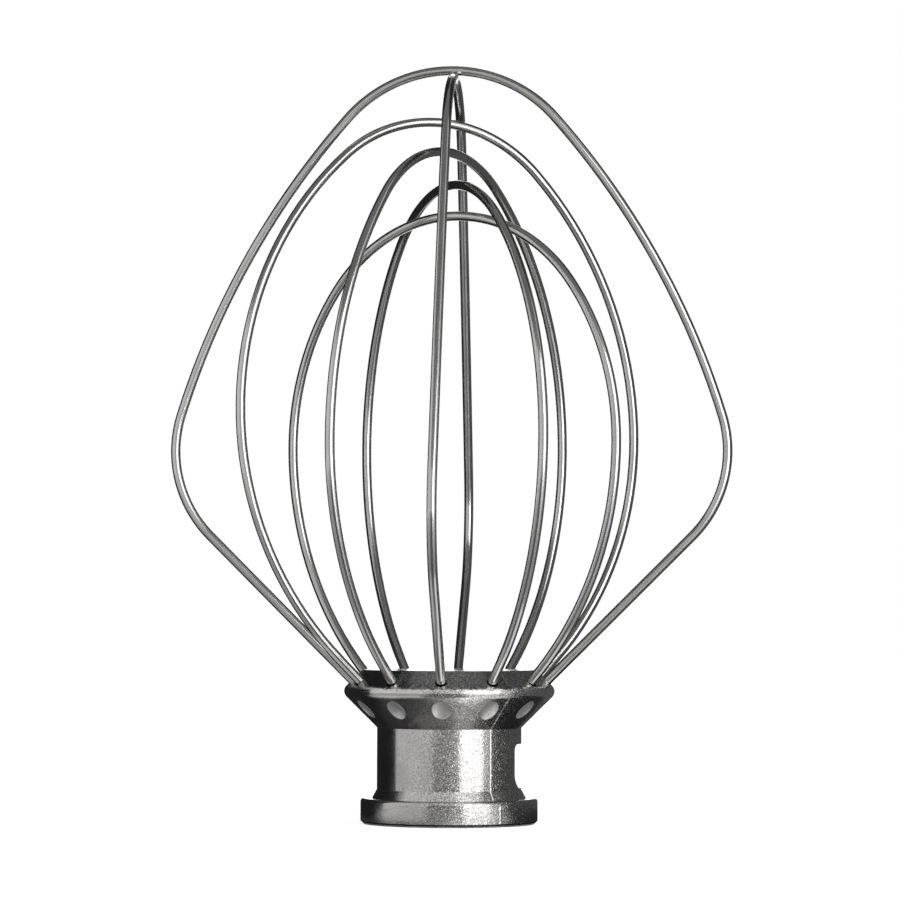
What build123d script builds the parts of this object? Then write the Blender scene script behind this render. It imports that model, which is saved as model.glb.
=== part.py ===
# Wire whisk for a stand mixer: a cast hub that stands on its flange and six bent wire loops.
# Millimetres. +Z is up along the hub axis, the base lies on z = 0 and the widest loop lies along X.

import os
from math import atan, atan2, cos, hypot, radians, sin, sqrt
from typing import NamedTuple

from build123d import *

# Hub outline, turned about the axis
base_radius = 22
base_height = 6.35
base_edge_radius = 0.9
base_chamfer = 0.8
foot_flare = 1.2
foot_height = 2.2
neck_radius = 17.95
collar_radius = 27
collar_height = 32.8
collar_edge_radius = 2
top_radius = 21.65

# Shaft bore, keyway for the cross pin, and the window the pin turns into
bore_radius = 6.5
bore_depth = 30
bore_chamfer = 0.8
keyway_width = 6.4
keyway_reach = 14.2
keyway_angle = 24
window_angle = 10
window_back = 5
window_width = 18.4
window_bottom = 9
window_top = 19.9
window_top_corner = 1.6
window_bottom_corner = 3.6

# Wire, its holes and the staking dimples under them
wire_diameter = 2.4
wire_sides = 10
hole_diameter = 2.9
hole_clearance = 0.05
hole_depth = 6
dimple_height = 28.55
dimple_length = 6.4
dimple_width = 5
dimple_depth = 0.75

# Wire loops, counted round the hub from the widest one.
# Heights are from the base and reaches from the axis, both to the centre of the wire.
wire_1_height = 187.7
wire_1_reach = 69
wire_1_belly_radius = 30
wire_1_flank_radius = 203.5
wire_1_crown_radius = 34.5

wire_2_height = 176.4
wire_2_reach = 54.3
wire_2_belly_height = 100
wire_2_crown_radius = 38
wire_2_lean = -1.1
wire_2_tilt = -4.5

wire_3_height = 167
wire_3_reach = 50.7
wire_3_belly_height = 94
wire_3_crown_radius = 34.4
wire_3_lean = 2.2
wire_3_tilt = 0.2

# The fourth loop stands across the first and slopes under it at the crown.
wire_4_reach = 55.5
wire_4_belly_radius = 28.5
wire_4_flank_radius = 1000
wire_4_crown_radius = 26
wire_4_lean = 2.5
wire_4_tilt = 0.4
crossing_gap = 0.15

wire_5_height = 159
wire_5_reach = 51.5
wire_5_belly_height = 94.6
wire_5_crown_radius = 41.4
wire_5_lean = -1.1
wire_5_tilt = 0.2

wire_6_height = 151.2
wire_6_reach = 49
wire_6_belly_height = 94.2
wire_6_crown_radius = 44.8

# Both faces of the collar slope at 45 degrees and the holes are in the middle of the upper one.
slope = sqrt(0.5)
neck_top = collar_height - (collar_radius - neck_radius)
hub_height = collar_height + (collar_radius - top_radius)
hole_radius = (collar_radius + top_radius) / 2
hole_height = (collar_height + hub_height) / 2

# On the axis, the sloping crown of the fourth loop clears the wire of the first.
crossing_cosine = sqrt(1 - (wire_4_lean / wire_4_crown_radius) ** 2)
crossing_rise = wire_4_crown_radius * (1 - crossing_cosine)
wire_4_height = wire_1_height + crossing_rise - (wire_diameter + crossing_gap) / crossing_cosine


# Loops are drawn in their own plane, with the origin on the axis at the height of the holes.
def on_circle(centre, radius, angle):
    return (centre[0] + radius * cos(angle), centre[1] + radius * sin(angle))


def leg(side, top):
    foot = (hole_radius - hole_depth * slope, -hole_depth * slope)
    Line((side * foot[0], foot[1]), (side * top[0], top[1]))


def arc(side, centre, radius, first, last):
    points = [on_circle(centre, radius, turn) for turn in (first, (first + last) / 2, last)]
    ThreePointArc(*[(side * across, up) for across, up in points])


# An oval runs from its leg round a belly arc, a slacker flank arc and a crown arc on each side.
class Oval(NamedTuple):
    crown_height: float
    reach: float
    belly_height: float
    crown_radius: float
    lean: float = 0  # how far the crown is bent toward the first leg
    tilt: float = 0  # how far the loop is out of upright, degrees

    def draw(self):
        crown = self.crown_radius
        belly_up = self.belly_height - hole_height
        crown_up = self.crown_height - hole_height - crown
        rise = crown_up - belly_up
        # The belly arc stands upright at the reach and touches the 45 degree leg.
        belly = (belly_up - (self.reach - hole_radius)) / (1 / slope - 1)
        belly_centre = (self.reach - belly, belly_up)
        for side in (1, -1):
            # The flank arc goes on upright from the belly and touches the crown arc.
            half = self.reach - side * self.lean
            flank = (half**2 + rise**2 - crown**2) / (2 * (half - crown))
            brow = atan(rise / (flank - half))
            leg(side, on_circle(belly_centre, belly, radians(-45)))
            arc(side, belly_centre, belly, radians(-45), 0)
            arc(side, (self.reach - flank, belly_up), flank, 0, brow)
            arc(side, (side * self.lean, crown_up), crown, brow, radians(90))


# A diamond runs from its leg round a tight belly arc, up a slack flank arc and over a round crown.
class Diamond(NamedTuple):
    crown_height: float
    reach: float
    belly_radius: float
    flank_radius: float
    crown_radius: float
    lean: float = 0  # how far the crown is bent toward the first leg
    tilt: float = 0  # how far the loop is out of upright, degrees

    def draw(self):
        belly = self.belly_radius
        flank = self.flank_radius
        crown = self.crown_radius
        belly_centre = (self.reach - belly, self.reach - belly - hole_radius + belly / slope)
        for side in (1, -1):
            crown_centre = (side * self.lean, self.crown_height - hole_height - crown)
            step = (crown_centre[0] - belly_centre[0], crown_centre[1] - belly_centre[1])
            span = hypot(*step)
            # The flank arc touches the belly arc and the crown arc, which both lie inside it.
            along = ((flank - belly) ** 2 - (flank - crown) ** 2 + span**2) / (2 * span)
            inward = sqrt((flank - belly) ** 2 - along**2)
            flank_centre = (
                belly_centre[0] + (step[0] * along - step[1] * inward) / span,
                belly_centre[1] + (step[1] * along + step[0] * inward) / span,
            )
            shoulder = atan2(belly_centre[1] - flank_centre[1], belly_centre[0] - flank_centre[0])
            brow = atan2(crown_centre[1] - flank_centre[1], crown_centre[0] - flank_centre[0])
            leg(side, on_circle(belly_centre, belly, radians(-45)))
            arc(side, belly_centre, belly, radians(-45), shoulder)
            arc(side, flank_centre, flank, shoulder, brow)
            arc(side, crown_centre, crown, brow, radians(90))


loops = [
    Diamond(wire_1_height, wire_1_reach, wire_1_belly_radius, wire_1_flank_radius, wire_1_crown_radius),
    Oval(wire_2_height, wire_2_reach, wire_2_belly_height, wire_2_crown_radius, wire_2_lean, wire_2_tilt),
    Oval(wire_3_height, wire_3_reach, wire_3_belly_height, wire_3_crown_radius, wire_3_lean, wire_3_tilt),
    Diamond(
        wire_4_height,
        wire_4_reach,
        wire_4_belly_radius,
        wire_4_flank_radius,
        wire_4_crown_radius,
        wire_4_lean,
        wire_4_tilt,
    ),
    Oval(wire_5_height, wire_5_reach, wire_5_belly_height, wire_5_crown_radius, wire_5_lean, wire_5_tilt),
    Oval(wire_6_height, wire_6_reach, wire_6_belly_height, wire_6_crown_radius),
]


# The first leg of each loop is one step further round the hub, from the -X side past the front.
def loop_plane(index, tilt):
    turn = radians(-180 + index * 180 / len(loops))
    lift = radians(tilt)
    return Plane(
        origin=(0, 0, hole_height),
        x_dir=(cos(turn), sin(turn), 0),
        z_dir=(sin(turn) * cos(lift), -cos(turn) * cos(lift), sin(lift)),
    )


planes = [loop_plane(index, loop.tilt) for index, loop in enumerate(loops)]

outline_points = [
    (0, 0),
    (base_radius - base_chamfer, 0),
    (base_radius, base_chamfer),
    (base_radius, base_height),
    (neck_radius + foot_flare, base_height),
    (neck_radius, base_height + foot_height),
    (neck_radius, neck_top),
    (collar_radius, collar_height),
    (top_radius, hub_height),
    (0, hub_height),
]
rounded_corners = [
    ((base_radius, base_height), base_edge_radius),
    ((collar_radius, collar_height), collar_edge_radius),
]


def arch_radius(chord, depth):
    return ((chord / 2) ** 2 + depth**2) / (2 * depth)


# A barrel whose side leaves a dimple on the lower face of the collar, longer down the slope than across
dimple_out = neck_radius + (dimple_height - neck_top)
barrel_radius = arch_radius(dimple_length, dimple_depth)
barrel_arch = arch_radius(dimple_width, dimple_depth)
barrel_end = barrel_radius - barrel_arch + sqrt(barrel_arch**2 - (dimple_width / 2) ** 2)
barrel_away = (barrel_radius - dimple_depth) * slope
barrel_plane = Plane(
    origin=(dimple_out + barrel_away, 0, dimple_height - barrel_away), x_dir=(0, 1, 0), z_dir=(1, 0, 0)
)
with BuildPart() as barrel:
    with BuildSketch(barrel_plane):
        with BuildLine():
            Polyline(
                (-dimple_width / 2, barrel_end),
                (-dimple_width / 2, 0),
                (dimple_width / 2, 0),
                (dimple_width / 2, barrel_end),
            )
            ThreePointArc(
                (dimple_width / 2, barrel_end), (0, barrel_radius), (-dimple_width / 2, barrel_end)
            )
        make_face()
    revolve(axis=Axis(barrel_plane.origin, (0, 1, 0)))

# Hub
with BuildPart() as hub:
    with BuildSketch(Plane.XZ) as section:
        with BuildLine():
            Polyline(*outline_points, close=True)
        make_face()
        for corner, radius in rounded_corners:
            fillet(section.vertices().sort_by_distance(corner)[0], radius)
    revolve(axis=Axis.Z)

    Cylinder(bore_radius, bore_depth, align=(Align.CENTER, Align.CENTER, Align.MIN), mode=Mode.SUBTRACT)
    Cone(
        bore_radius + bore_chamfer,
        bore_radius,
        bore_chamfer,
        align=(Align.CENTER, Align.CENTER, Align.MIN),
        mode=Mode.SUBTRACT,
    )
    with Locations(Location((0, 0, 0), (0, 0, keyway_angle))):
        Box(
            keyway_reach,
            keyway_width,
            window_top,
            align=(Align.MIN, Align.CENTER, Align.MIN),
            mode=Mode.SUBTRACT,
        )

    window_turn = radians(window_angle)
    window_plane = Plane(
        origin=(window_back * cos(window_turn), window_back * sin(window_turn), 0),
        x_dir=(-sin(window_turn), cos(window_turn), 0),
        z_dir=(cos(window_turn), sin(window_turn), 0),
    )
    with BuildSketch(window_plane) as window:
        with Locations((0, (window_bottom + window_top) / 2)):
            Rectangle(window_width, window_top - window_bottom)
        fillet(window.vertices().group_by(Axis.Y)[0], window_bottom_corner)
        fillet(window.vertices().group_by(Axis.Y)[-1], window_top_corner)
    extrude(amount=base_radius, mode=Mode.SUBTRACT)

    # The wire lies against the upper wall of its wider hole and ends on the bottom.
    hole_drop = ((hole_diameter - wire_diameter) / 2 - hole_clearance) * slope
    for plane in planes:
        for side in (1, -1):
            mouth_at = (hole_radius + hole_drop, -hole_drop)
            bottom_at = (mouth_at[0] - hole_depth * slope, mouth_at[1] - hole_depth * slope)
            mouth, bottom = [
                plane.from_local_coords(Vector(side * across, up, 0)) for across, up in (mouth_at, bottom_at)
            ]
            with Locations(Plane(origin=bottom, z_dir=mouth - bottom)):
                Cylinder(
                    hole_diameter / 2,
                    hole_depth + hole_diameter,
                    align=(Align.CENTER, Align.CENTER, Align.MIN),
                    mode=Mode.SUBTRACT,
                )

    with PolarLocations(0, 2 * len(loops)):
        add(barrel.part, mode=Mode.SUBTRACT)

os.makedirs("parts", exist_ok=True)
hub.part.label = "hub"
export_step(hub.part, "parts/hub.step")

# Wire loops
for number, (loop, plane) in enumerate(zip(loops, planes), 1):
    with BuildPart() as wire:
        with BuildLine(plane) as path:
            loop.draw()
        course = path.wire()
        with BuildSketch(Plane(origin=course @ 0, z_dir=course % 0)):
            RegularPolygon(wire_diameter / 2, wire_sides)
        sweep(path=course)
    wire.part.label = f"wire_{number}"
    export_step(wire.part, f"parts/wire_{number}.step")
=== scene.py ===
from math import atan, atan2, cos, pi, radians, sin, sqrt
from random import Random

import bmesh
import bpy
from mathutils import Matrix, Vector


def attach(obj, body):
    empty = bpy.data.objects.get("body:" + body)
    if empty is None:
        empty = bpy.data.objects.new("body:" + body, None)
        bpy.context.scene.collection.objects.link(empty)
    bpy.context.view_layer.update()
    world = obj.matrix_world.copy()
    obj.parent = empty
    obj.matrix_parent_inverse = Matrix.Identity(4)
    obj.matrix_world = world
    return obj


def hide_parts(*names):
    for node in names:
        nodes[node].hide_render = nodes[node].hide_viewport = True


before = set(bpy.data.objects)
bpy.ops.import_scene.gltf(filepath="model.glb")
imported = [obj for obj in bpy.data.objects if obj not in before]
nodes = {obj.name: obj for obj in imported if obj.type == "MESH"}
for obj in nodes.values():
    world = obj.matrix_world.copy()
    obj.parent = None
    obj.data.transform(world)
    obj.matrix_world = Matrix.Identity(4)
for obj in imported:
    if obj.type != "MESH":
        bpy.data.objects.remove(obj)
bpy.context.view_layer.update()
mm = 0.001
slope = sqrt(0.5)  # the collar's cones and the wire holes lie at 45 degrees
white = (1, 1, 1, 1)
print("loaded the frame:", ", ".join(sorted(nodes)))


# small helpers for node trees and objects

def feed(tree, socket, value):
    if isinstance(value, bpy.types.NodeSocket):
        tree.links.new(value, socket)
    elif value is not None:
        socket.default_value = value


def setInputs(tree, node, values):
    for socket, value in values.items():
        feed(tree, node.inputs[socket], value)


def addNode(tree, kind, values=None, **settings):
    node = tree.nodes.new(kind)
    for name, value in settings.items():
        setattr(node, name, value)
    setInputs(tree, node, values or {})
    return node


def addMath(tree, operation, first, second=None, clamp=False):
    node = addNode(tree, "ShaderNodeMath", {0: first, 1: second}, operation=operation, use_clamp=clamp)
    return node.outputs[0]


def addLength(tree, first, second):
    squares = [addMath(tree, "POWER", value, 2.0) for value in (first, second)]
    return addMath(tree, "SQRT", addMath(tree, "ADD", *squares))


def addSwing(tree, value, amount):
    return addMath(tree, "MULTIPLY", addMath(tree, "SUBTRACT", value, 0.5), amount)


def addWeighted(tree, first, firstWeight, second, secondWeight, clamp=False):
    return addMath(tree, "ADD", addMath(tree, "MULTIPLY", first, firstWeight),
                   addMath(tree, "MULTIPLY", second, secondWeight), clamp)


def addRange(tree, value, low, high, toLow=0.0, toHigh=1.0):
    node = addNode(tree, "ShaderNodeMapRange", {0: value, 1: low, 2: high, 3: toLow, 4: toHigh},
                   interpolation_type="SMOOTHSTEP")
    return node.outputs[0]


def addMix(tree, factor, first, second):
    node = addNode(tree, "ShaderNodeMix", {0: factor, 6: first, 7: second}, data_type="RGBA")
    return node.outputs[2]  # 6, 7 and this one are the colour sockets


def addNoise(tree, place, scale, detail, roughness=0.5):
    node = addNode(tree, "ShaderNodeTexNoise",
                   {"Vector": place, "Scale": scale, "Detail": detail, "Roughness": roughness})
    return node.outputs["Fac"]


def addBump(tree, height, distance, under=None):
    node = addNode(tree, "ShaderNodeBump",
                   {"Strength": 1.0, "Distance": distance, "Height": height, "Normal": under})
    return node.outputs["Normal"]


def opaque(colour):
    return (*colour, 1)


def newGroup(name, inputs, outputs):
    group = bpy.data.node_groups.new(name, "ShaderNodeTree")
    for label, kind, value in inputs:
        socket = group.interface.new_socket(name=label, in_out="INPUT", socket_type=kind)
        if value is not None:
            socket.default_value = value
    for label, kind in outputs:
        group.interface.new_socket(name=label, in_out="OUTPUT", socket_type=kind)
    return group, group.nodes.new("NodeGroupInput"), group.nodes.new("NodeGroupOutput")


def newMaterial(name):
    material = bpy.data.materials.new(name)
    material.use_nodes = True
    tree = material.node_tree
    tree.nodes.clear()
    out = tree.nodes.new("ShaderNodeOutputMaterial")
    shader = tree.nodes.new("ShaderNodeBsdfPrincipled")
    tree.links.new(shader.outputs["BSDF"], out.inputs["Surface"])
    return material, tree, shader


def newObject(name, data):
    thing = bpy.data.objects.new(name, data)
    bpy.context.scene.collection.objects.link(thing)
    return thing


def newMeshObject(name, corners, faces):
    mesh = bpy.data.meshes.new(name)
    mesh.from_pydata([tuple(corner) for corner in corners], [], faces)
    return newObject(name, mesh)


# Metal grain: pebbles with steep grit on them, scattered pits and broad blotches

grainShape = {
    "pebbleRange": (0.3, 0.7),
    "pebbleHeight": 0.3,
    "gritFiner": 1.7,
    "gritRange": (0.45, 0.85),
    "gritPower": 2.0,
    "gritHeight": 2.2,
    "blotchFiner": 0.07,
    "blotchRange": (0.3, 0.7),
    "pitEdge": 0.55,
}


def buildMetalGrain(shape):
    group, given, out = newGroup(
        "metalGrain",
        [("Vector", "NodeSocketVector", None), ("Grain Size", "NodeSocketFloat", 0.4 * mm),
         ("Pit Spacing", "NodeSocketFloat", 3 * mm), ("Pit Radius", "NodeSocketFloat", 0.12)],
        [("Height", "NodeSocketFloat"), ("Grain", "NodeSocketFloat"), ("Pits", "NodeSocketFloat"),
         ("Blotch", "NodeSocketFloat")],
    )
    place = given.outputs["Vector"]
    frequency = addMath(group, "DIVIDE", 1.0, given.outputs["Grain Size"])
    pebbles = addNoise(group, place, frequency, detail=1.0)
    gritScale = addMath(group, "MULTIPLY", frequency, shape["gritFiner"])
    grit = addNoise(group, place, gritScale, detail=0.0)
    blotchScale = addMath(group, "MULTIPLY", frequency, shape["blotchFiner"])
    blotch = addNoise(group, place, blotchScale, detail=4.0, roughness=0.55)
    pitScale = addMath(group, "DIVIDE", 1.0, given.outputs["Pit Spacing"])
    cells = addNode(group, "ShaderNodeTexVoronoi", {"Vector": place, "Scale": pitScale}, feature="F1")
    reach = addMath(group, "DIVIDE", cells.outputs["Distance"], given.outputs["Pit Radius"])
    pits = addRange(group, reach, shape["pitEdge"], 1.0, 1.0, 0.0)
    grain = addRange(group, pebbles, *shape["pebbleRange"])
    steep = addMath(group, "POWER", addRange(group, grit, *shape["gritRange"]), shape["gritPower"])
    height = addWeighted(group, grain, shape["pebbleHeight"], steep, shape["gritHeight"])
    setInputs(group, out, {
        "Height": addMath(group, "SUBTRACT", height, pits),
        "Grain": grain,
        "Pits": pits,
        "Blotch": addRange(group, blotch, *shape["blotchRange"]),
    })
    return group


metalGrain = buildMetalGrain(grainShape)


# Cast hub: satin pebbled casting, with a painted highlight on the rim and painted shade in its pits, matt in
# the dimples with a brighter colour there, partly bare punched metal and partly painted light

castLook = {
    "bright": (0.76, 0.75, 0.745),
    "dull": (0.36, 0.352, 0.348),
    # painted shade for the pits and for the torn spots on the rim
    "pitShade": (0.10, 0.095, 0.09),
    "roughness": (0.10, 0.17),
    "grainSize": 0.4 * mm,
    "pitSpacing": 2.4 * mm,
    "pitRadius": 0.10,
    "pitShadeShare": 0.7,
    "bump": 0.018 * mm,
    "tone": 0.32,
    "speckle": 0.9,
    "blotch": 0.25,
    "smoothSide": (-8 * mm, -2.5 * mm),
    "smoothShare": 0.3,
    "smoothPatches": 6 * mm,
    "rimRadius": 25.3 * mm,
    "rimBlend": 0.3 * mm,
    "rimRagged": 1.2 * mm,
    # painted highlight: the rim's colour is lifted
    "rimPaintedHighlight": 0.25,
    "rimBump": 0.16 * mm,
    "tornHeight": (33.1 * mm, 33.9 * mm),
    "tornScale": 900.0,
    "tornSpots": (0.40, 0.48),
    "tornShadeShare": 0.8,
    "dimples": 12,
    "dimpleHeight": 28.55 * mm,
    "dimpleLength": 6.4 * mm,
    "dimpleWidth": 5.0 * mm,
    "dimpleEdge": (0.9, 1.0),
    # the dimples' brighter colour: partly bare punched metal, partly painted light
    "dimpleFinishAndPaintedLight": 0.6,
    "dimpleRoughness": 0.32,
    "dimpleMetal": 0.6,
}


def makeCastMetal(look):
    material, tree, shader = newMaterial("castAluminium")
    place = addNode(tree, "ShaderNodeTexCoord").outputs["Object"]
    grain = addNode(tree, "ShaderNodeGroup", node_tree=metalGrain)
    setInputs(tree, grain, {"Vector": place, "Grain Size": look["grainSize"],
                            "Pit Spacing": look["pitSpacing"], "Pit Radius": look["pitRadius"]})
    blotch = grain.outputs["Blotch"]
    split = addNode(tree, "ShaderNodeSeparateXYZ", {0: place})
    x, y, z = [split.outputs[axis] for axis in "XYZ"]
    outward = addLength(tree, x, y)
    ragged = addMath(tree, "ADD", outward, addSwing(tree, blotch, look["rimRagged"]))
    rim = addRange(tree, ragged, look["rimRadius"] - look["rimBlend"], look["rimRadius"] + look["rimBlend"])

    # the punch left the staking dimples matt and bare; their brighter colour is partly that bare finish and
    # partly painted light where the dimples catch it
    spacing = 2 * pi / look["dimples"]
    turn = addMath(tree, "ADD", addMath(tree, "ARCTAN2", y, x), spacing / 2)
    aside = addMath(tree, "SUBTRACT", addMath(tree, "FLOORED_MODULO", turn, spacing), spacing / 2)
    across = addMath(tree, "DIVIDE", addMath(tree, "MULTIPLY", aside, outward), look["dimpleWidth"] / 2)
    along = addMath(tree, "DIVIDE", addMath(tree, "SUBTRACT", z, look["dimpleHeight"]),
                    look["dimpleLength"] / 2 * slope)
    punched = addRange(tree, addLength(tree, across, along), *look["dimpleEdge"], 1.0, 0.0)

    # the casting is smoother and more even on the -X side
    patchy = addMath(tree, "ADD", x, addSwing(tree, blotch, look["smoothPatches"]))
    coarse = addRange(tree, patchy, *look["smoothSide"], look["smoothShare"], 1.0)
    speckle = addSwing(tree, grain.outputs["Grain"], coarse)
    tone = addWeighted(tree, speckle, look["speckle"], blotch, look["blotch"])
    # painted highlight on the rim, and in the dimples a brighter colour that is partly their bare punched
    # finish and partly painted light where they catch it
    paintedRimAndDimpleLight = addWeighted(tree, rim, look["rimPaintedHighlight"], punched, look["dimpleFinishAndPaintedLight"])
    tone = addMath(tree, "ADD", addMath(tree, "ADD", tone, look["tone"]), paintedRimAndDimpleLight, clamp=True)
    metal = addMix(tree, tone, opaque(look["dull"]), opaque(look["bright"]))
    # painted shade: the pits are darkened in colour as well as sunk in the bump
    pits = addMath(tree, "MULTIPLY", grain.outputs["Pits"], look["pitShadeShare"])
    pitShaded = addMix(tree, pits, metal, opaque(look["pitShade"]))

    # the upper side of the rim is ragged where the casting was trimmed; dark spots there are painted shade
    # that breaks up the rim's highlight
    torn = addNoise(tree, place, look["tornScale"], detail=3.0, roughness=0.6)
    trimmed = addMath(tree, "MULTIPLY", rim, addRange(tree, z, *look["tornHeight"]))
    marked = addRange(tree, torn, *look["tornSpots"], look["tornShadeShare"], 0.0)
    tornShadeSpots = addMath(tree, "MULTIPLY", marked, trimmed)
    tornBump = addBump(tree, addMath(tree, "MULTIPLY", trimmed, torn), look["rimBump"])

    satin = addRange(tree, blotch, 0.0, 1.0, *look["roughness"])
    matt = addMath(tree, "MULTIPLY", punched, look["dimpleRoughness"])
    pebbled = addMath(tree, "MULTIPLY", grain.outputs["Height"], coarse)
    setInputs(tree, shader, {
        "Base Color": addMix(tree, tornShadeSpots, pitShaded, opaque(look["pitShade"])),
        "Metallic": addRange(tree, punched, 0.0, 1.0, 1.0, look["dimpleMetal"]),
        "Roughness": addMath(tree, "MAXIMUM", satin, matt),
        "Normal": addBump(tree, pebbled, look["bump"], tornBump),
    })
    return material


# Drawn wire: fine lines along the length, light scuffs

wireLook = {
    "bright": (0.68, 0.675, 0.67),
    "dull": (0.50, 0.495, 0.49),
    "roughness": (0.14, 0.20),
    "bump": 0.003 * mm,
    "linesAround": 26.0,
    "linesAlong": 1.2,
    "lineRange": (0.3, 0.7),
    "lineTone": 0.6,
    "scuffSize": 0.7 * mm,
    "scuffTone": 0.4,
}


def makeDrawnWire(look):
    material, tree, shader = newMaterial("drawnSteelWire")
    place = addNode(tree, "ShaderNodeTexCoord")
    stretch = addNode(tree, "ShaderNodeMapping", {"Vector": place.outputs["UV"],
                                                  "Scale": (look["linesAround"], look["linesAlong"], 1.0)})
    lines = addNoise(tree, stretch.outputs["Vector"], 1.0, detail=4.0, roughness=0.6)
    drawn = addRange(tree, lines, *look["lineRange"])
    grain = addNode(tree, "ShaderNodeGroup", node_tree=metalGrain)
    setInputs(tree, grain, {"Vector": place.outputs["Object"], "Grain Size": look["scuffSize"]})
    tone = addWeighted(tree, drawn, look["lineTone"], grain.outputs["Blotch"], look["scuffTone"], clamp=True)
    setInputs(tree, shader, {
        "Base Color": addMix(tree, tone, opaque(look["dull"]), opaque(look["bright"])),
        "Metallic": 1.0,
        "Roughness": addRange(tree, drawn, 0.0, 1.0, *look["roughness"]),
        "Normal": addBump(tree, drawn, look["bump"]),
    })
    return material


castMetal = makeCastMetal(castLook)
drawnWire = makeDrawnWire(wireLook)
print("made the metals")


# Hub: the casting itself is the frame's solid

hub = nodes["hub"]
hub.data.materials.clear()
hub.data.materials.append(castMetal)


# Wire loops: round wire on the same arcs as the solids, seated in the collar's holes; loop sizes in mm

wireSize = {
    "radius": 1.2 * mm,
    "sides": 28,
    "holeRadius": 24.325 * mm,
    "holeHeight": 35.475 * mm,
    "holeDepth": 6.0 * mm,
    "secondRing": 0.95,  # share of the depth, close to the end face, keeps the straight length evenly shaded
    "turnStep": radians(2.5),
    "longestStep": 4 * mm,
    "loops": 6,
    "firstTurn": -180,
    "crossingGap": 0.15 * mm,
    "uvPerMetre": 100,
}
ovalLoops = {
    "wire_2": {"height": 176.4, "reach": 54.3, "bellyHeight": 100, "crown": 38, "lean": -1.1, "tilt": -4.5},
    "wire_3": {"height": 167, "reach": 50.7, "bellyHeight": 94, "crown": 34.4, "lean": 2.2, "tilt": 0.2},
    "wire_5": {"height": 159, "reach": 51.5, "bellyHeight": 94.6, "crown": 41.4, "lean": -1.1, "tilt": 0.2},
    "wire_6": {"height": 151.2, "reach": 49, "bellyHeight": 94.2, "crown": 44.8, "lean": 0, "tilt": 0},
}
diamondLoops = {
    "wire_1": {"height": 187.7, "reach": 69, "belly": 30, "flank": 203.5, "crown": 34.5,
               "lean": 0, "tilt": 0},
    "wire_4": {"reach": 55.5, "belly": 28.5, "flank": 1000, "crown": 26, "lean": 2.5, "tilt": 0.4},
}


# loop 4 stands across loop 1 and slopes under its crown
def heightUnder(upper, lower):
    cosine = sqrt(1 - (lower["lean"] / lower["crown"]) ** 2)
    rise = lower["crown"] * (1 - cosine)
    between = (2 * wireSize["radius"] + wireSize["crossingGap"]) / mm
    return upper["height"] + rise - between / cosine


diamondLoops["wire_4"]["height"] = heightUnder(diamondLoops["wire_1"], diamondLoops["wire_4"])


def arcPoints(centre, radius, first, last):
    steps = max(2, int(abs(last - first) / wireSize["turnStep"]) + 1)
    steps = max(steps, int(abs((last - first) * radius) / wireSize["longestStep"]) + 1)
    turns = [first + (last - first) * step / steps for step in range(steps + 1)]
    return [(centre[0] + radius * cos(turn), centre[1] + radius * sin(turn)) for turn in turns]


def ovalSide(size, side):
    reach = size["reach"] * mm
    across = side * size["lean"] * mm
    crown = size["crown"] * mm
    bellyUp = size["bellyHeight"] * mm - wireSize["holeHeight"]
    crownUp = size["height"] * mm - wireSize["holeHeight"] - crown
    belly = (bellyUp - (reach - wireSize["holeRadius"])) / (1 / slope - 1)
    half = reach - across
    rise = crownUp - bellyUp
    flank = (half ** 2 + rise ** 2 - crown ** 2) / (2 * (half - crown))
    brow = atan(rise / (flank - half))
    return (arcPoints((reach - belly, bellyUp), belly, radians(-45), 0)
            + arcPoints((reach - flank, bellyUp), flank, 0, brow)[1:]
            + arcPoints((across, crownUp), crown, brow, radians(90))[1:])


def diamondSide(size, side):
    reach, belly, flank, crown = [size[key] * mm for key in ("reach", "belly", "flank", "crown")]
    bellyAt = Vector((reach - belly, reach - belly - wireSize["holeRadius"] + belly / slope))
    crownAt = Vector((side * size["lean"] * mm, size["height"] * mm - wireSize["holeHeight"] - crown))
    step = crownAt - bellyAt
    span = step.length
    along = ((flank - belly) ** 2 - (flank - crown) ** 2 + span ** 2) / (2 * span)
    inward = sqrt((flank - belly) ** 2 - along ** 2)
    flankAt = bellyAt + (step * along + Vector((-step.y, step.x)) * inward) / span
    shoulder = atan2(bellyAt.y - flankAt.y, bellyAt.x - flankAt.x)
    brow = atan2(crownAt.y - flankAt.y, crownAt.x - flankAt.x)
    return (arcPoints(bellyAt, belly, radians(-45), shoulder)
            + arcPoints(flankAt, flank, shoulder, brow)[1:]
            + arcPoints(crownAt, crown, brow, radians(90))[1:])


def loopCourse(size, sideOf):
    foot = wireSize["holeDepth"] * slope
    seat = [(wireSize["holeRadius"] - depth, -depth) for depth in (foot, wireSize["secondRing"] * foot)]
    first = seat + sideOf(size, 1)
    second = seat + sideOf(size, -1)
    return first + [(-across, up) for across, up in reversed(second[:-1])]


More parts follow.
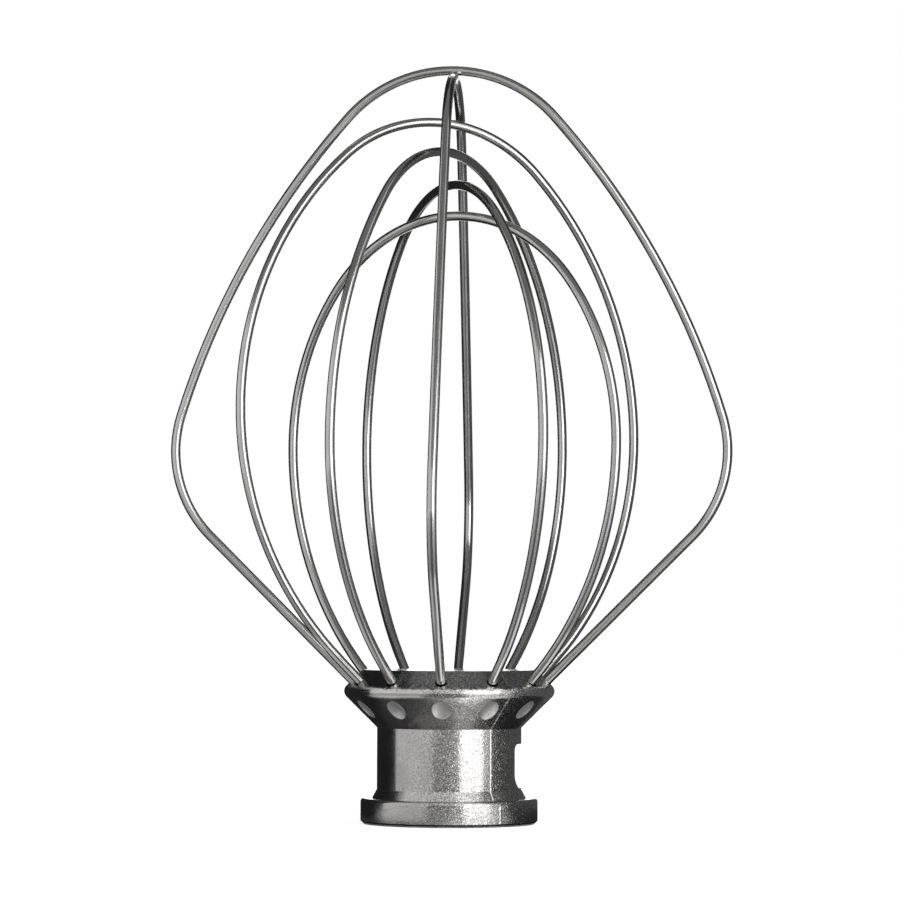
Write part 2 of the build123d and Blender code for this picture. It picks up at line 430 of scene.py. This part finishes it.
def makeWire(name, size, sideOf):
    turn = radians(wireSize["firstTurn"] + (int(name[-1]) - 1) * 180 / wireSize["loops"])
    lift = radians(size["tilt"])
    outward = Vector((cos(turn), sin(turn), 0))
    normal = Vector((sin(turn) * cos(lift), -cos(turn) * cos(lift), sin(lift)))
    upward = normal.cross(outward)
    flat = loopCourse(size, sideOf)
    course = [Vector((0, 0, wireSize["holeHeight"])) + outward * across + upward * up for across, up in flat]

    mesh = bpy.data.meshes.new(name + "_round")
    build = bmesh.new()
    uv = build.loops.layers.uv.new("drawn")
    sides = wireSize["sides"]
    spins = [2 * pi * side / sides for side in range(sides)]
    rings, lengths, travelled = [], [], 0.0
    for index, point in enumerate(course):
        before = course[max(index - 1, 0)]
        after = course[min(index + 1, len(course) - 1)]
        along = (after - before).normalized()
        across = normal.cross(along)
        travelled += (point - before).length
        lengths.append(travelled)
        rings.append([build.verts.new(point + (across * cos(spin) + normal * sin(spin)) * wireSize["radius"])
                      for spin in spins])
    for index in range(len(rings) - 1):
        for side in range(sides):
            nextSide = (side + 1) % sides
            face = build.faces.new((rings[index][side], rings[index][nextSide],
                                    rings[index + 1][nextSide], rings[index + 1][side]))
            face.smooth = True
            corners = ((side, index), (side + 1, index), (side + 1, index + 1), (side, index + 1))
            for loop, (around, ring) in zip(face.loops, corners):
                loop[uv].uv = (around / sides, lengths[ring] * wireSize["uvPerMetre"])
    build.faces.new(reversed(rings[0]))
    build.faces.new(rings[-1])
    bmesh.ops.recalc_face_normals(build, faces=build.faces)
    build.to_mesh(mesh)
    build.free()
    wire = newObject(name + "_round", mesh)
    mesh.materials.append(drawnWire)
    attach(wire, "root")
    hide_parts(name)


for loops, sideOf in ((ovalLoops, ovalSide), (diamondLoops, diamondSide)):
    for name, size in loops.items():
        makeWire(name, size, sideOf)
print("swept", len(ovalLoops) + len(diamondLoops), "wires")


# Parting line: a low ragged fin where the two halves of the mould met, on both sides of the hub

finSize = {
    "angles": (-50.3, 129.7),
    "halfWidth": 0.35 * mm,
    "height": 0.085 * mm,
    "ragged": (0.55, 1.3),
    "sway": 0.05 * mm,
    "sink": 0.02 * mm,
    "step": 0.35 * mm,
}
finCourses = {  # radius and height on the hub, in mm
    "flange": [(22, 0.9), (22, 5.4)],
    "neck": [(19.1, 6.45), (17.95, 8.55), (17.95, 23.75), (25.59, 31.39)],
    "collar": [(25.59, 34.21), (21.7, 38.1)],
}


def finPoints(corners):
    points = []
    for first, last in zip(corners, corners[1:]):
        run = Vector((last[0] - first[0], last[1] - first[1])) * mm
        outward = Vector((run.y, -run.x)).normalized()
        steps = max(2, int(run.length / finSize["step"]))
        points += [(Vector(first) * mm + run * step / steps, outward) for step in range(steps + 1)]
    return points


def makeFin(name, angle, course, chance):
    turn = radians(angle)
    outward = Vector((cos(turn), sin(turn), 0))
    aside = Vector((-sin(turn), cos(turn), 0))
    upright = Vector((0, 0, 1))
    corners, faces = [], []
    for row, (point, normal) in enumerate(finPoints(course)):
        rise = outward * normal.x + upright * normal.y
        sway = aside * chance.uniform(-finSize["sway"], finSize["sway"])
        foot = outward * point.x + upright * point.y + sway
        crest = foot + rise * finSize["height"] * chance.uniform(*finSize["ragged"])
        edge = foot - rise * finSize["sink"]
        corners += [edge - aside * finSize["halfWidth"], crest, edge + aside * finSize["halfWidth"]]
        if row:
            at = row * 3
            faces += [(at - 3, at - 2, at + 1, at), (at - 2, at - 1, at + 2, at + 1)]
    fin = newMeshObject(name, corners, faces)
    fin.data.materials.append(castMetal)
    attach(fin, "root")


for number, angle in enumerate(finSize["angles"], 1):
    for part, course in finCourses.items():
        makeFin(f"fin_{part}_{number}", angle, course, Random(number * 7 + len(part)))
print("laid the parting line")


# Studio: pale floor, soft lamps, and cards that only reflections see; angles go round from the camera

studio = {
    "cameraAngle": 4.8,
    "cameraAim": 4.795,
    "cameraAway": 0.996,
    "cameraHeight": 0.0547,
    "cameraPitch": 2.19,
    "cameraRoll": -0.18,
    "lens": 160,
    "sensor": 36,
    "clip": (0.01, 20),
    "floorSize": 6.0,
    "floorHole": 0.0205,
    "floorColour": (0.86, 0.86, 0.86),
    "floorRoughness": 0.12,
    "floorMirror": 0.5,
    "floorGlow": 0.75,
    "floorFade": (0.7, 0.9),
    "ambient": 0.30,
}
softboxes = {
    "leftSoftbox": {"angle": -63, "away": 0.75, "height": 0.22, "wide": 1.05, "tall": 0.66, "radiance": 0.15},
    "rightSoftbox": {"angle": 36, "away": 0.75, "height": 0.22, "wide": 0.50, "tall": 0.66, "radiance": 1.65},
    "rightFill": {"angle": 64, "away": 0.75, "height": 0.48, "wide": 0.20, "tall": 1.18, "radiance": 0.15},
    "backStrip": {"angle": 180, "away": 0.9, "height": 0.25, "wide": 0.32, "tall": 1.0, "radiance": 0.8},
}
wattsPerRadiance = 4  # for each square metre of lamp
cards = {
    "leftCard": {"angle": -140, "away": 0.8, "wide": 1.2, "tall": 2.1, "tone": 0.02},
    "rightCard": {"angle": 122, "away": 0.8, "wide": 1.35, "tall": 2.1, "tone": 0.03},
    "frontCard": {"angle": -4, "away": 0.78, "wide": 0.56, "tall": 0.57, "tone": 0.56},
    "leftBack": {"angle": -63, "away": 0.84, "wide": 1.36, "tall": 0.61, "tone": 0.58},
    "rightBack": {"angle": 65, "away": 0.82, "wide": 0.32, "tall": 1.17, "tone": 0.5},
}
ceiling = {"height": 2.1, "size": 6.2, "tone": 0.19}
sheets = {
    "leftSheet": {"angles": (-168, -90), "inner": 0.074, "outer": 0.16, "height": 0.26, "tone": 0.02},
    "rightSheet": {"angles": (66, 168), "inner": 0.074, "outer": 0.16, "height": 0.26, "tone": 0.10},
    "frontSheet": {"angles": (-24.5, 15.5), "inner": 0.075, "outer": 0.5, "height": 0.0008, "tone": 0.13},
}
sheetLift = 0.0004
sheetSteps = 24
ringStep = 2
# glow of a ring lying on the floor close round the base, seen only in reflections, by distance and by angle:
# painted reflections of the floor and lamps, and painted contact shadow next to the base
paintedBaseReflectionTones = {-180: 0.02, -60: 0.06, -25: 0.15, 0: 0.50, 10: 1.1, 20: 1.8, 42: 0.45, 58: 0.03, 180: 0.02}
paintedFloorReflectionRing = {
    0.0216: {-180: 0.01, 180: 0.01},
    0.0236: {-180: 0.02, 0: 0.06, 180: 0.02},
    0.0246: paintedBaseReflectionTones,
    0.034: paintedBaseReflectionTones,
    0.042: {-180: 0.02, -90: 0.02, -65: 0.55, -30: 0.55, -22: 0.25,
            14: 0.25, 20: 0.95, 55: 0.95, 72: 0.02, 180: 0.02},
    0.054: {-180: 0.02, -96: 0.02, -80: 0.62, -30: 0.58, -24: 0.16,
            14: 0.16, 20: 0.95, 55: 0.95, 72: 0.02, 180: 0.02},
    0.075: {-180: 0.02, -96: 0.02, -86: 0.62, -30: 0.60, -24: 0.14,
            14: 0.14, 20: 0.95, 55: 0.95, 70: 0.02, 180: 0.02},
}
# tone of a card over the flange that only the foot of the neck looks up at
footTones = {-180: 0.05, -90: 0.08, -70: 0.8, 8: 0.7, 14: 1.5, 46: 1.5, 54: 0.3, 100: 0.1, 180: 0.05}
footRing = {0.038: footTones, 0.066: footTones}
footRingHeight = 0.045


def around(angle, away, height):
    turn = radians(angle + studio["cameraAngle"])
    return Vector((away * sin(turn), -away * cos(turn), height))


def stageMesh(name, corners, faces):
    piece = newMeshObject(name, corners, faces)
    return piece


def stageFlat(name, wide, tall):
    x, y = wide / 2, tall / 2
    return stageMesh(name, [(-x, -y, 0), (x, -y, 0), (x, y, 0), (-x, y, 0)], [(0, 1, 2, 3)])


def seenAsBackdrop(tree, rays):
    mirrored = addMath(tree, "ADD", rays.outputs["Is Glossy Ray"], rays.outputs["Is Transmission Ray"])
    return addMath(tree, "ADD", rays.outputs["Is Camera Ray"], mirrored, clamp=True)


def seenFromFront(tree):
    side = addNode(tree, "ShaderNodeNewGeometry")
    return addMath(tree, "SUBTRACT", 1.0, side.outputs["Backfacing"])


def makeFloor():
    floor = stageFlat("paleFloor", studio["floorSize"], studio["floorSize"])
    material, tree, shader = newMaterial("paleFloorSheet")
    rays = addNode(tree, "ShaderNodeLightPath")
    byCamera = rays.outputs["Is Camera Ray"]
    place = addNode(tree, "ShaderNodeTexCoord")
    length = addNode(tree, "ShaderNodeVectorMath", {0: place.outputs["Object"]}, operation="LENGTH")
    away = length.outputs["Value"]
    near = addMath(tree, "MULTIPLY", byCamera, studio["floorGlow"])
    far = addMath(tree, "MULTIPLY", seenAsBackdrop(tree, rays), addRange(tree, away, *studio["floorFade"]))
    # from below the sheet is clear, and under the base too, so that the underside can be looked at
    beside = addMath(tree, "GREATER_THAN", away, studio["floorHole"])
    setInputs(tree, shader, {
        "Base Color": opaque(studio["floorColour"]),
        "Roughness": studio["floorRoughness"],
        # the lamps and cards mirror in the sheet only where the metal looks at it
        "Specular IOR Level": addRange(tree, byCamera, 0.0, 1.0, studio["floorMirror"], 0.0),
        "Emission Color": white,
        "Emission Strength": addMath(tree, "MAXIMUM", near, far),
        "Alpha": addMath(tree, "MULTIPLY", seenFromFront(tree), beside),
    })
    floor.data.materials.append(material)


def dressCard(piece, tone):
    material, tree, shader = newMaterial(piece.name + "Cloth")
    setInputs(tree, shader, {"Base Color": (0, 0, 0, 1), "Roughness": 1.0, "Specular IOR Level": 0.0,
                             "Emission Color": white, "Emission Strength": tone})
    piece.data.materials.append(material)
    piece.visible_camera = False
    piece.visible_diffuse = False
    piece.visible_shadow = False
    return tree, shader


def makeCard(name, card):
    piece = stageFlat(name, card["wide"], card["tall"])
    piece.location = around(card["angle"], card["away"], card["tall"] / 2)
    piece.rotation_euler = (radians(90), 0, radians(card["angle"] + studio["cameraAngle"]))
    dressCard(piece, card["tone"])


def makeCeiling():
    piece = stageFlat("ceilingCard", ceiling["size"], ceiling["size"])
    piece.location = (0, 0, ceiling["height"])
    dressCard(piece, ceiling["tone"])


# a sheet lies on the floor by the hub, and those at the sides bend up at the outer edge
def makeSheet(name, sheet):
    first, last = sheet["angles"]
    profile = ((sheet["inner"], sheetLift), (sheet["outer"], sheetLift), (sheet["outer"], sheet["height"]))
    corners, faces = [], []
    for step in range(sheetSteps + 1):
        angle = first + (last - first) * step / sheetSteps
        corners += [around(angle, away, up) for away, up in profile]
        if step:
            at = step * 3
            faces += [(at - 3, at - 2, at + 1, at), (at - 2, at - 1, at + 2, at + 1)]
    dressCard(stageMesh(name, corners, faces), sheet["tone"])


def ringTone(tones, angle):
    stops = sorted(tones.items())
    for (first, low), (last, high) in zip(stops, stops[1:]):
        if angle <= last:
            return low + (high - low) * (angle - first) / (last - first)


def makeRing(name, course, height, seenFrom):
    corners, tones, faces = [], [], []
    rings = len(course)
    for step, angle in enumerate(range(-180, 181, ringStep)):
        corners += [around(angle, away, height) for away in course]
        tones += [ringTone(ring, angle) for ring in course.values()]
        if step:
            now = step * rings
            last = now - rings
            faces += [(last + band, last + band + 1, now + band + 1, now + band) for band in range(rings - 1)]
    if seenFrom == "below":
        faces = [face[::-1] for face in faces]
    piece = stageMesh(name, corners, faces)
    piece.data.attributes.new("tone", "FLOAT", "POINT").data.foreach_set("value", tones)
    tree, shader = dressCard(piece, 0.0)
    tone = addNode(tree, "ShaderNodeAttribute", attribute_name="tone")
    setInputs(tree, shader, {"Emission Strength": tone.outputs["Fac"], "Alpha": seenFromFront(tree)})


def makeSoftbox(name, box):
    light = bpy.data.lights.new(name, "AREA")
    light.shape = "RECTANGLE"
    light.size = box["wide"]
    light.size_y = box["tall"]
    light.energy = box["radiance"] * box["wide"] * box["tall"] * wattsPerRadiance
    lamp = newObject(name, light)
    lamp.location = around(box["angle"], box["away"], box["height"])
    aim = Vector((0, 0, box["height"])) - lamp.location
    lamp.rotation_euler = aim.to_track_quat("-Z", "Y").to_euler()
    lamp.visible_camera = False


def makeWorld():
    world = bpy.data.worlds.new("whiteStudio")
    bpy.context.scene.world = world
    world.use_nodes = True
    tree = world.node_tree
    seen = seenAsBackdrop(tree, addNode(tree, "ShaderNodeLightPath"))
    setInputs(tree, tree.nodes["Background"],
              {"Color": white, "Strength": addRange(tree, seen, 0.0, 1.0, studio["ambient"], 1.0)})


def makeCamera():
    data = bpy.data.cameras.new("photoCamera")
    data.lens = studio["lens"]
    data.sensor_width = studio["sensor"]
    data.clip_start, data.clip_end = studio["clip"]
    camera = newObject("photoCamera", data)
    camera.location = around(0, studio["cameraAway"], studio["cameraHeight"])
    camera.rotation_euler = (radians(90 + studio["cameraPitch"]), radians(studio["cameraRoll"]),
                             radians(studio["cameraAim"]))
    bpy.context.scene.camera = camera


makeFloor()
for name, card in cards.items():
    makeCard(name, card)
for name, sheet in sheets.items():
    makeSheet(name, sheet)
makeCeiling()
# painted reflections and painted contact shadow round the base, seen only by the metal
makeRing("paintedFloorReflectionRing", paintedFloorReflectionRing, sheetLift, "above")
makeRing("footRing", footRing, footRingHeight, "below")
for name, box in softboxes.items():
    makeSoftbox(name, box)
makeWorld()
makeCamera()
bpy.context.scene.view_settings.view_transform = "Standard"
print("set up the studio")
